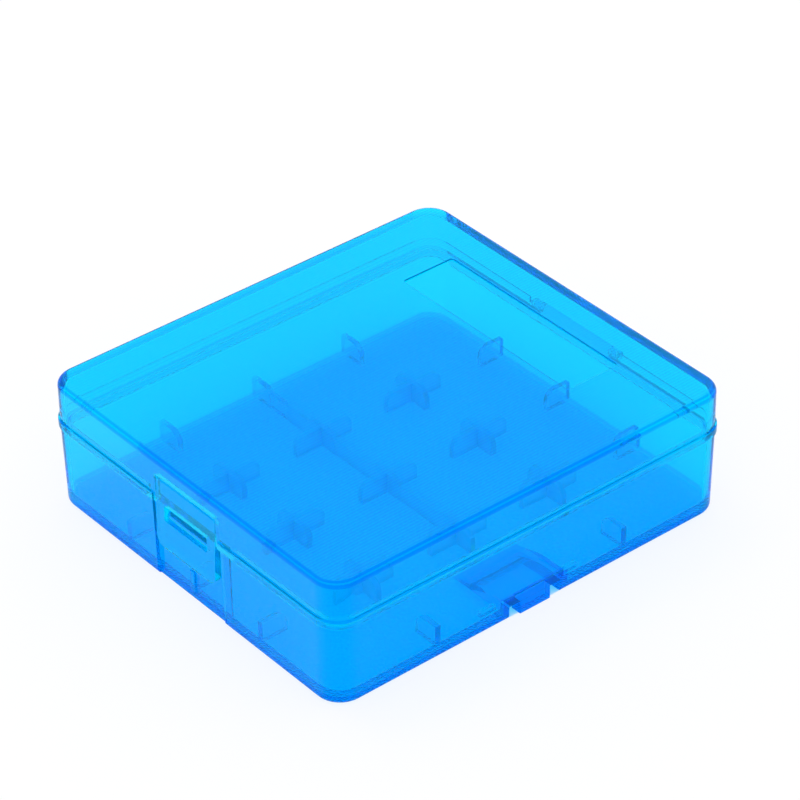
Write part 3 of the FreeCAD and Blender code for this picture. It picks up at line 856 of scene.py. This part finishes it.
    def hinge(self) -> list[Solid]:
        """Barrel, gusset and stub pins at the rear.

        Returns:
            The three solids.
        """
        box, half, radius = self.box, self.box.hinge_half, self.box.hinge_radius
        depth, height = box.hinge
        buried, top = box.half_depth - self.root, box.parting - SINK
        lean = radius * math.sqrt(0.5)
        gusset = [(buried, self.gusset_foot), (depth + lean, height - lean), (depth, top),
                  (buried, top)]
        pins = half + box.hinge_lug
        return [prism("hinge_gusset", gusset, Axis.X, -half, half, FINE_EDGE),
                rod("hinge_barrel", box.hinge, radius, -half, half, SMALL_EDGE),
                rod("hinge_pins", box.hinge, box.hinge_pin, -pins, pins, FINE_EDGE)]

    def build(self) -> Solid:
        """Make the whole moulding.

        Returns:
            The finished piece in metres.
        """
        tray = self.shell()
        combine(tray, [self.bay_backing(), self.eye_hump()], Join.WELD)
        combine(tray, [self.bay_cut(), self.eye_cut()], Join.CUT)
        added = [self.catch(), self.rib_bar(), self.eye_bar(), *self.stops(), *self.hinge(),
                 *self.cell_grid()]
        combine(tray, added, Join.WELD)
        finish_solid(tray)
        return tray

    def dress(self, piece: Solid) -> None:
        """Give the tray its finish and put it in the place of its CAD node.

        Args:
            piece: The finished tray.
        """
        piece.data.materials.clear()
        piece.data.materials.append(self.material)
        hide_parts("base_tray")
        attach(piece, "base")


@dataclass
class Lid:
    """The upper moulding: shell, rim, locating lip, latch notch, hinge lugs and label recess."""

    box: Envelope
    material: bpy.types.Material
    roof: float = 1.35
    roof_round: float = 0.95
    rim_rise: float = 1.5
    rim_reach: float = 0.3
    rim_round: float = 0.2
    lip_inset: float = 1.3
    lip_wall: float = 0.7
    lip_drop: float = 1.0
    lip_rise: float = 0.8
    lip_round: float = 0.15
    lip_bevel: float = 0.08
    gap_rise: float = 3.5
    rim_gap_halves: Point2 = (8.2, 10.6)
    lip_gap_half: float = 11.0
    lip_gap_depth: float = 2.4
    notch_half: float = 7.6
    notch_top: float = 20.0
    notch_round: float = 0.3
    notch_depth: float = 0.6
    latch_bore: float = 0.4
    latch_bore_half: float = 8.15
    arm_root: float = 0.6
    mouth_half: float = 0.35
    bore_over: float = 0.1
    label: Point4 = (-20.2, 20.2, 20.2, 30.7)
    label_depth: float = 0.2
    label_round: float = 0.5

    def shell(self) -> Solid:
        """Roof, walls, rim and locating lip as one lofted skin.

        Returns:
            The solid, closed below by the end of the lip.
        """
        box, foot, wall = self.box, self.box.lid_foot, self.box.wall
        ceiling = box.height - self.roof
        inner, lip = box.inner_round, self.lip_inset + self.lip_wall

        def plain(inset: float, height: float) -> Station:
            """A section concentric with the outer corners."""
            return (inset, height, box.corner - inset)

        def eased_lip(inset: float, height: float) -> Station:
            """A section of the lip, whose corners clear those of the tray."""
            return (inset, height, box.corner + box.draft - inset)

        ease, bevel = self.lip_round, self.lip_bevel
        low, lip_top = foot - self.lip_drop, foot + self.lip_rise
        vault = bend((wall + inner, ceiling - inner), inner, 90, 180, steps=6)
        stations = [plain(*point) for point in vault]
        stations += [plain(wall, lip_top), eased_lip(lip - bevel, lip_top),
                     eased_lip(lip, lip_top - bevel)]
        toe = bend((lip - ease, low + ease), ease, 0, -90, steps=3)
        toe += bend((self.lip_inset + ease, low + ease), ease, 270, 180, steps=3)
        stations += [eased_lip(*point) for point in toe]
        stations += [eased_lip(self.lip_inset, foot)]
        edge = self.rim_round
        outer = edge - self.rim_reach
        rim = bend((outer, foot + edge), edge, 270, 180, steps=4)
        rim += bend((outer, foot + self.rim_rise - edge), edge, 180, 90, steps=4)
        stations += [plain(*point) for point in rim]
        stations += [plain(0, foot + self.rim_rise)]
        crown = self.roof_round
        shoulder = bend((crown, box.height - crown), crown, 180, 90, steps=8)
        stations += [plain(*point) for point in shoulder]
        return loft("lid_moulding", box.half_length, box.half_depth, stations)

    def rim_gaps(self) -> list[Solid]:
        """Places where rim and lip are left out.

        Returns:
            The cutters: rim at the latch, rim at the hinge, lip behind the latch bay.
        """
        low, high = self.box.lid_foot - CLEAR, self.box.lid_foot + self.gap_rise
        deep, inside = self.box.half_depth, -self.box.half_depth + self.box.wall
        (front, rear), half = self.rim_gap_halves, self.lip_gap_half
        gaps = [box_corners(-front, front, -deep - CLEAR, -deep),
                box_corners(-rear, rear, deep, deep + CLEAR),
                box_corners(-half, half, inside, inside + self.lip_gap_depth)]
        return [prism("rim_gap", gap, Axis.Z, low, high) for gap in gaps]

    def notch_cut(self) -> Solid:
        """The notch in the front wall that the latch closes.

        Returns:
            The cutter.
        """
        half, low, top = self.notch_half, self.box.lid_foot - CLEAR, self.notch_top
        outline = eased([(-half, low), (half, low), (half, top, self.notch_round),
                         (-half, top, self.notch_round)], steps=4)
        front = -self.box.half_depth
        return prism("notch_cut", outline, Axis.Y, front - CLEAR,
                     front + self.box.wall + self.notch_depth)

    def hinge_lugs(self) -> list[Solid]:
        """The two rear arms with their round lugs.

        Returns:
            The two arms, then the two lugs.
        """
        box = self.box
        depth, height = box.hinge
        start, end = box.hinge_half + box.side_gap, box.hinge_half + box.side_gap + box.hinge_lug
        arm = box_corners(box.half_depth - self.arm_root, depth, box.lid_foot,
                          height + box.hinge_radius)
        arms = mirrored_pair(partial(prism, "hinge_arm", arm, Axis.X, edge=FINE_EDGE), start, end)
        lugs = mirrored_pair(partial(rod, "hinge_lug", box.hinge, box.hinge_radius, edge=FINE_EDGE),
                             start, end)
        return arms + lugs

    def bores(self) -> list[Solid]:
        """Blind bores for the latch's pins, and the hinge lugs' bores with their open mouths.

        Returns:
            The cutters.
        """
        box = self.box
        depth, height = box.hinge
        start, end = box.hinge_half, box.hinge_half + box.side_gap + box.hinge_lug + self.bore_over
        bore, half, reach = box.hinge_pin + box.pin_gap, self.mouth_half, self.latch_bore_half
        mouth = box_corners(depth - half, depth + half, height - CLEAR, height)
        cuts = [rod("latch_bores", box.pivot, self.latch_bore, -reach, reach)]
        cuts += mirrored_pair(partial(rod, "hinge_bore", box.hinge, bore), start, end)
        cuts += mirrored_pair(partial(prism, "hinge_mouth", mouth, Axis.X), start, end)
        return cuts

    def label_cut(self) -> Solid:
        """The shallow bare recess on the roof.

        Returns:
            The cutter.
        """
        top, ease = self.box.height, self.label_round
        outline = eased([(*corner, ease) for corner in box_corners(*self.label)], steps=5)
        return prism("label_cut", outline, Axis.Z, top - self.label_depth, top + CLEAR)

    def build(self) -> Solid:
        """Make the whole moulding.

        Returns:
            The finished piece in metres.
        """
        lid = self.shell()
        combine(lid, self.rim_gaps(), Join.CUT)
        combine(lid, [self.notch_cut(), self.label_cut()], Join.CUT)
        combine(lid, self.hinge_lugs(), Join.WELD)
        combine(lid, self.bores(), Join.CUT)
        finish_solid(lid)
        return lid

    def dress(self, piece: Solid) -> None:
        """Give the lid its finish and put it in the place of its CAD node.

        Args:
            piece: The finished lid.
        """
        piece.data.materials.clear()
        piece.data.materials.append(self.material)
        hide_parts("lid")
        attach(piece, "lid")


@dataclass
class Latch:
    """The drop latch: flared plate with its window, barrel and stub pins."""

    box: Envelope
    material: bpy.types.Material
    half_width: float = 7.45
    foot: float = 7.1
    face: float = -39.6
    flare: float = 0.45
    back: float = -38.85
    back_drop: float = 2.2
    toe: float = 0.7
    lead_in: float = 1.5
    side_half: float = 10.0
    side_rounds: Point2 = (0.3, 0.15)
    corner: float = 2.0
    pin_half: float = 8.05
    barrel_radius: float = 0.55
    pin_radius: float = 0.35
    window: Point4 = (-5.4, 5.4, 12.5, 15.2)
    window_round: float = 0.3
    window_reach: float = 3.0
    edge: float = 0.12
    edge_angle: float = 40.0

    def plate(self) -> Solid:
        """The plate below the pivot, with its barrel and window.

        Returns:
            The solid with eased edges.
        """
        (depth, height), radius = self.box.pivot, self.barrel_radius
        half, foot, reach = self.half_width, self.foot, self.window_reach
        front = eased([(-half, foot, self.corner), (half, foot, self.corner),
                       (half, height + CLEAR), (-half, height + CLEAR)])
        plate = prism("latch_moulding", front, Axis.Y, self.face - CLEAR, depth + CLEAR)
        tip = self.face - self.flare
        back_round, tip_round = self.side_rounds
        leave = math.degrees(math.acos((self.back - depth) / radius))
        side = bend((depth, height), radius, 180, -leave, steps=24)
        side += eased([(self.back, height - self.back_drop),
                       (self.back, foot + self.lead_in, back_round),
                       (tip + self.toe, foot, tip_round), (tip, foot, tip_round)], steps=3)
        ends = (-self.side_half, self.side_half)
        combine(plate, [prism("latch_side", side, Axis.X, *ends)], Join.COMMON)
        ease = self.window_round
        hole = eased([(*corner, ease) for corner in box_corners(*self.window)], steps=3)
        combine(plate, [prism("latch_window", hole, Axis.Y, self.face - reach, self.back + reach)],
                Join.CUT)
        bevel = plate.modifiers.new("edges", "BEVEL")
        bevel.width = self.edge
        bevel.segments = BEVEL_STEPS
        bevel.limit_method = "ANGLE"
        bevel.angle_limit = math.radians(self.edge_angle)
        plain_mesh(plate)
        return plate

    def pins(self) -> Solid:
        """The stub pins at the ends of the barrel."""
        half = self.pin_half
        return rod("latch_pins", self.box.pivot, self.pin_radius, -half, half, FINE_EDGE)

    def build(self) -> Solid:
        """Make the whole moulding.

        Returns:
            The finished piece in metres.
        """
        latch = self.plate()
        combine(latch, [self.pins()], Join.WELD)
        finish_solid(latch)
        return latch

    def dress(self, piece: Solid) -> None:
        """Give the latch its finish and put it in the place of its CAD node.

        Args:
            piece: The finished latch.
        """
        piece.data.materials.clear()
        piece.data.materials.append(self.material)
        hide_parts("latch")
        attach(piece, "latch")


# ---- studio

@dataclass(frozen=True)
class Studio:
    """White table, even white light and the camera."""

    table_reach: float = 3.0
    table_gap: float = 5e-5
    table_colour: Point3 = (0.97, 0.97, 0.97)
    glow: float = 0.8
    eye_table: Point3 = (0.0, 0.0352, 0.02)
    lamp_place: Point3 = (-0.45, -0.1, 0.95)
    lamp_size: float = 0.3
    lamp_power: float = 1.0
    sky: float = 1.0
    lens: float = 172.41
    sensor: float = 36.0
    clip_start: float = 0.01
    camera_place: Point3 = (0.3830, -0.3073, 0.3682)
    camera_right: Point3 = (0.63700, 0.77073, -0.01419)
    camera_up: Point3 = (-0.43885, 0.37771, 0.81531)
    camera_back: Point3 = (0.63375, -0.51312, 0.57884)

    def table_material(self) -> bpy.types.Material:
        """Matt white that glows where the camera sees it and still keeps the shadow.

        Rays that reach the table through the plastic, and the strip of it under the cord eye,
        get only the light that falls there, so the case's floor stays darker than its walls.

        Returns:
            The material.
        """
        material = bpy.data.materials.new("white_table")
        material.use_nodes = True
        tree = material.node_tree
        nodes, links, maths = tree.nodes, tree.links, partial(compute, tree)
        nodes.clear()
        matt = nodes.new("ShaderNodeBsdfDiffuse")
        matt.inputs["Color"].default_value = (*self.table_colour, 1)
        glow = nodes.new("ShaderNodeEmission")
        glow.inputs["Strength"].default_value = 1.0
        light = nodes.new("ShaderNodeLightPath").outputs
        place = nodes.new("ShaderNodeSeparateXYZ")
        links.new(nodes.new("ShaderNodeTexCoord").outputs["Object"], place.inputs[0])
        low, high, half = self.eye_table
        beside = maths("GREATER_THAN", maths("ABSOLUTE", place.outputs["Y"]), half)
        inside = maths("LESS_THAN", place.outputs["X"], low)
        outside = maths("GREATER_THAN", place.outputs["X"], high)
        open_table = maths("MAXIMUM", beside, maths("MAXIMUM", inside, outside))
        share = maths("MULTIPLY", light["Is Camera Ray"], maths("MULTIPLY", open_table, self.glow))
        mixed = nodes.new("ShaderNodeMixShader")
        links.new(share, mixed.inputs[0])
        links.new(matt.outputs[0], mixed.inputs[1])
        links.new(glow.outputs[0], mixed.inputs[2])
        links.new(mixed.outputs[0], nodes.new("ShaderNodeOutputMaterial").inputs["Surface"])
        return material

    def set_table(self) -> None:
        """Lay the table just under the case."""
        reach, level = self.table_reach, -self.table_gap
        mesh = bpy.data.meshes.new("table")
        corners = [(*corner, level) for corner in box_corners(-reach, reach, -reach, reach)]
        mesh.from_pydata(corners, [], [(0, 1, 2, 3)])
        table = bpy.data.objects.new("table", mesh)
        show(table)
        mesh.materials.append(self.table_material())

    def set_light(self) -> None:
        """Light everything evenly from a white world, with a softbox above for the highlights."""
        world = bpy.data.worlds.new("studio")
        bpy.context.scene.world = world
        world.use_nodes = True
        sky = world.node_tree.nodes["Background"]
        sky.inputs["Color"].default_value = (1, 1, 1, 1)
        sky.inputs["Strength"].default_value = self.sky
        lamp = bpy.data.lights.new("softbox", "AREA")
        lamp.size = self.lamp_size
        lamp.energy = self.lamp_power
        softbox = bpy.data.objects.new("softbox", lamp)
        softbox.location = self.lamp_place
        softbox.rotation_euler = Vector(self.lamp_place).to_track_quat("Z", "Y").to_euler()
        show(softbox)
        bpy.context.scene.view_settings.view_transform = "Standard"

    def set_camera(self) -> None:
        """Place the camera at the viewing angle."""
        lens = bpy.data.cameras.new("camera")
        lens.lens = self.lens
        lens.sensor_width = self.sensor
        lens.clip_start = self.clip_start
        camera = bpy.data.objects.new("camera", lens)
        show(camera)
        columns = (self.camera_right, self.camera_up, self.camera_back, self.camera_place)
        rows = [[column[row] for column in columns] for row in range(3)]
        camera.matrix_world = Matrix((*rows, (0, 0, 0, 1)))
        bpy.context.scene.camera = camera


def main() -> None:
    """Build the case and its studio."""
    logging.basicConfig(level=logging.INFO, format="%(name)s: %(message)s")
    texture_and_shade = texture_and_shade_group()
    box = Envelope()
    # The tray's darker tint paints shade on its floor, on its foot and walls up to 1.6 mm and round
    # the cord eye.
    tray_finish = ClearBluePlastic("tray_plastic", frost=0.3, frost_low=-0.001,
                                   frost_high=0.00185, shaded_edge_low=-0.001, shaded_edge_high=0.0016,
                                   level_tone_and_shade=0.27, eye_shade_from=0.0235, relief=2e-5, grain=5.0,
                                   frost_and_shade_colour=(0.0, 0.5, 1.0))
    # The lid's darker tint paints shade along the roof's rounded top edge and the label recess's
    # sides; the roof's own tone is grain and lines.
    lid_finish = ClearBluePlastic("lid_plastic", frost=0.03, frost_low=0.02315, frost_high=0.024,
                                  shaded_edge_low=0.0222, shaded_edge_high=0.024, level_tone_and_shade=0.14, relief=1e-6,
                                  grain=4.0, lines=2.4, frost_and_shade_colour=(0.0, 0.56, 1.0))
    latch_finish = ClearBluePlastic("latch_plastic", polish=0.12)
    assemblies = [
        BaseTray(box, GridRepeater(), tray_finish.make(texture_and_shade)),
        Lid(box, lid_finish.make(texture_and_shade)),
        Latch(box, latch_finish.make(texture_and_shade)),
    ]
    for assembly in assemblies:
        piece = assembly.build()
        assembly.dress(piece)
    studio = Studio()
    studio.set_table()
    studio.set_light()
    studio.set_camera()


if __name__ == "__main__":
    main()
